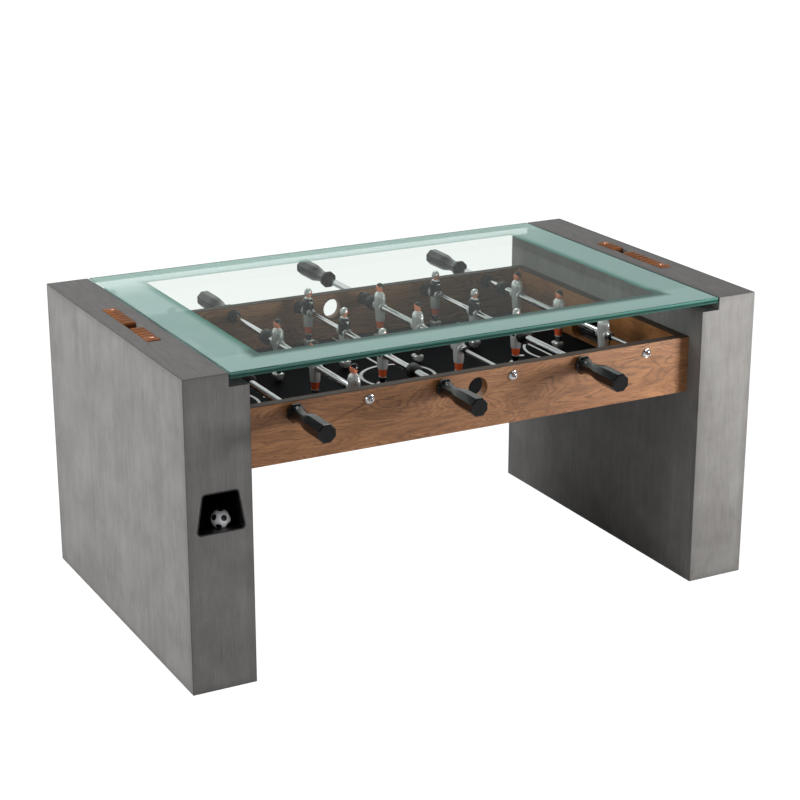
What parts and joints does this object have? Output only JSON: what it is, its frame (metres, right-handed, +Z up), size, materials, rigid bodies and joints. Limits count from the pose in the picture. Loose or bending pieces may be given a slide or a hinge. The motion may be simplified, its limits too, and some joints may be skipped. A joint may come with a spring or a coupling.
{
  "type": "foosball table",
  "caption": "Foosball coffee table: grey wood slab legs, a glass top with a frosted border, and a walnut play box whose rods slide and spin with players and grips.",
  "frame": {"origin": "on the floor, under the middle of the whole object at rest with its grips; the table's own middle is 65 mm from it towards -Y, because the grips reach further on the far side", "axes": "+X along the pitch towards the right leg, +Y to the far long side, +Z up"},
  "size_m": [1.082, 0.945, 0.5346],
  "materials": {
    "grey_wood": "grey-washed oak veneer",
    "walnut": "satin walnut veneer",
    "score_wood": "oiled reddish wood",
    "pitch": "black laminate with white lines",
    "glass": "clear with a frosted border",
    "rubber": "matt",
    "black_plastic": "satin",
    "white_plastic": "smooth",
    "steel": "polished",
    "chrome": "mirror",
    "copper": "copper-coloured, polished",
    "black_team": "painted: black shirts, silver shorts",
    "silver_team": "painted: silver shirts and shorts"
  },
  "bodies": {
    "table": {"left_leg_outer_panel": "grey_wood", "left_leg_pocket_panel": "grey_wood", "left_leg_plain_panel": "grey_wood", "left_leg_inner_panel": "grey_wood", "left_leg_top_panel": "grey_wood", "right_leg_outer_panel": "grey_wood", "right_leg_pocket_panel": "grey_wood", "right_leg_plain_panel": "grey_wood", "right_leg_inner_panel": "grey_wood", "right_leg_top_panel": "grey_wood", "glass_shelves": "grey_wood", "glass_top": "glass", "glass_pads": "rubber", "front_apron": "walnut", "rear_apron": "walnut", "left_end_wall": "walnut", "right_end_wall": "walnut", "playfield": "pitch", "left_ball_return": "black_plastic", "right_ball_return": "black_plastic", "ball": "white_plastic", "inner_rods": "steel", "rod_bearings": "black_plastic", "anchor_plates": "chrome", "anchor_bolts": "chrome", "score_blocks": "score_wood", "score_stops": "score_wood", "score_screws": "copper"},
    "rod_1_carriage": {"rod_1_end_bush": "black_plastic"},
    "rod_1": {"rod_1_tube": "chrome", "rod_1_handle": "black_plastic", "rod_1_men": "black_team"},
    "rod_1_bumper": {"rod_1_bumper": "rubber"},
    "rod_2_carriage": {"rod_2_end_bush": "black_plastic"},
    "rod_2": {"rod_2_tube": "chrome", "rod_2_handle": "black_plastic", "rod_2_men": "silver_team"},
    "rod_2_bumper": {"rod_2_bumper": "rubber"},
    "rod_3_carriage": {"rod_3_end_bush": "black_plastic"},
    "rod_3": {"rod_3_tube": "chrome", "rod_3_handle": "black_plastic", "rod_3_men": "black_team"},
    "rod_3_bumper": {"rod_3_bumper": "rubber"},
    "rod_4_carriage": {"rod_4_end_bush": "black_plastic"},
    "rod_4": {"rod_4_tube": "chrome", "rod_4_handle": "black_plastic", "rod_4_men": "silver_team"},
    "rod_4_bumper": {"rod_4_bumper": "rubber"},
    "rod_5_carriage": {"rod_5_end_bush": "black_plastic"},
    "rod_5": {"rod_5_tube": "chrome", "rod_5_handle": "black_plastic", "rod_5_men": "black_team"},
    "rod_5_bumper": {"rod_5_bumper": "rubber"},
    "rod_6_carriage": {"rod_6_end_bush": "black_plastic"},
    "rod_6": {"rod_6_tube": "chrome", "rod_6_handle": "black_plastic", "rod_6_men": "silver_team"},
    "rod_6_bumper": {"rod_6_bumper": "rubber"},
    "left_score": {"left_score_block": "score_wood"},
    "right_score": {"right_score_block": "score_wood"}
  },
  "joints": [
    {"name": "rod_1_travel", "type": "slide", "parent": "table", "child": "rod_1_carriage", "axis": [0, -1, 0], "range_m": [0, 0.1625]},
    {"name": "rod_1_spin", "type": "hinge", "parent": "rod_1_carriage", "child": "rod_1", "pos_m": [-0.339, -0.065, 0.438], "axis": [0, -1, 0], "continuous": true},
    {"name": "rod_1_bumper_shift", "type": "slide", "parent": "table", "child": "rod_1_bumper", "axis": [0, -1, 0], "range_m": [0, 0.15141]},
    {"name": "rod_2_travel", "type": "slide", "parent": "table", "child": "rod_2_carriage", "axis": [0, 1, 0], "range_m": [0, 0.1625]},
    {"name": "rod_2_spin", "type": "hinge", "parent": "rod_2_carriage", "child": "rod_2", "pos_m": [-0.2034, -0.065, 0.438], "axis": [0, 1, 0], "continuous": true},
    {"name": "rod_2_bumper_shift", "type": "slide", "parent": "table", "child": "rod_2_bumper", "axis": [0, 1, 0], "range_m": [0, 0.1394]},
    {"name": "rod_3_travel", "type": "slide", "parent": "table", "child": "rod_3_carriage", "axis": [0, -1, 0], "range_m": [0, 0.1625]},
    {"name": "rod_3_spin", "type": "hinge", "parent": "rod_3_carriage", "child": "rod_3", "pos_m": [-0.0678, -0.065, 0.438], "axis": [0, -1, 0], "continuous": true},
    {"name": "rod_3_bumper_shift", "type": "slide", "parent": "table", "child": "rod_3_bumper", "axis": [0, -1, 0], "range_m": [0, 0.0704]},
    {"name": "rod_4_travel", "type": "slide", "parent": "table", "child": "rod_4_carriage", "axis": [0, 1, 0], "range_m": [-0.13, 0.0325]},
    {"name": "rod_4_spin", "type": "hinge", "parent": "rod_4_carriage", "child": "rod_4", "pos_m": [0.0678, -0.065, 0.438], "axis": [0, 1, 0], "continuous": true},
    {"name": "rod_4_bumper_shift", "type": "slide", "parent": "table", "child": "rod_4_bumper", "axis": [0, 1, 0], "range_m": [-0.101, 0.0254]},
    {"name": "rod_5_travel", "type": "slide", "parent": "table", "child": "rod_5_carriage", "axis": [0, -1, 0], "range_m": [0, 0.1625]},
    {"name": "rod_5_spin", "type": "hinge", "parent": "rod_5_carriage", "child": "rod_5", "pos_m": [0.2034, -0.065, 0.438], "axis": [0, -1, 0], "continuous": true},
    {"name": "rod_5_bumper_shift", "type": "slide", "parent": "table", "child": "rod_5_bumper", "axis": [0, -1, 0], "range_m": [0, 0.1574]},
    {"name": "rod_6_travel", "type": "slide", "parent": "table", "child": "rod_6_carriage", "axis": [0, 1, 0], "range_m": [-0.08, 0.0825]},
    {"name": "rod_6_spin", "type": "hinge", "parent": "rod_6_carriage", "child": "rod_6", "pos_m": [0.339, -0.065, 0.438], "axis": [0, 1, 0], "continuous": true},
    {"name": "rod_6_bumper_shift", "type": "slide", "parent": "table", "child": "rod_6_bumper", "axis": [0, 1, 0], "range_m": [-0.05082, 0.0524]},
    {"name": "left_score_shift", "type": "slide", "parent": "table", "child": "left_score", "axis": [0, 1, 0], "range_m": [0, 0.0302]},
    {"name": "right_score_shift", "type": "slide", "parent": "table", "child": "right_score", "axis": [0, 1, 0], "range_m": [0, 0.0302]}
  ],
  "couplings": [
    {"joint": "rod_1_bumper_shift", "follows": "rod_1_travel", "ratio": 0.9305},
    {"joint": "rod_2_bumper_shift", "follows": "rod_2_travel", "ratio": 0.8566},
    {"joint": "rod_3_bumper_shift", "follows": "rod_3_travel", "ratio": 0.432},
    {"joint": "rod_4_bumper_shift", "follows": "rod_4_travel", "ratio": 0.7754},
    {"joint": "rod_5_bumper_shift", "follows": "rod_5_travel", "ratio": 0.9674},
    {"joint": "rod_6_bumper_shift", "follows": "rod_6_travel", "ratio": 0.6327}
  ]
}
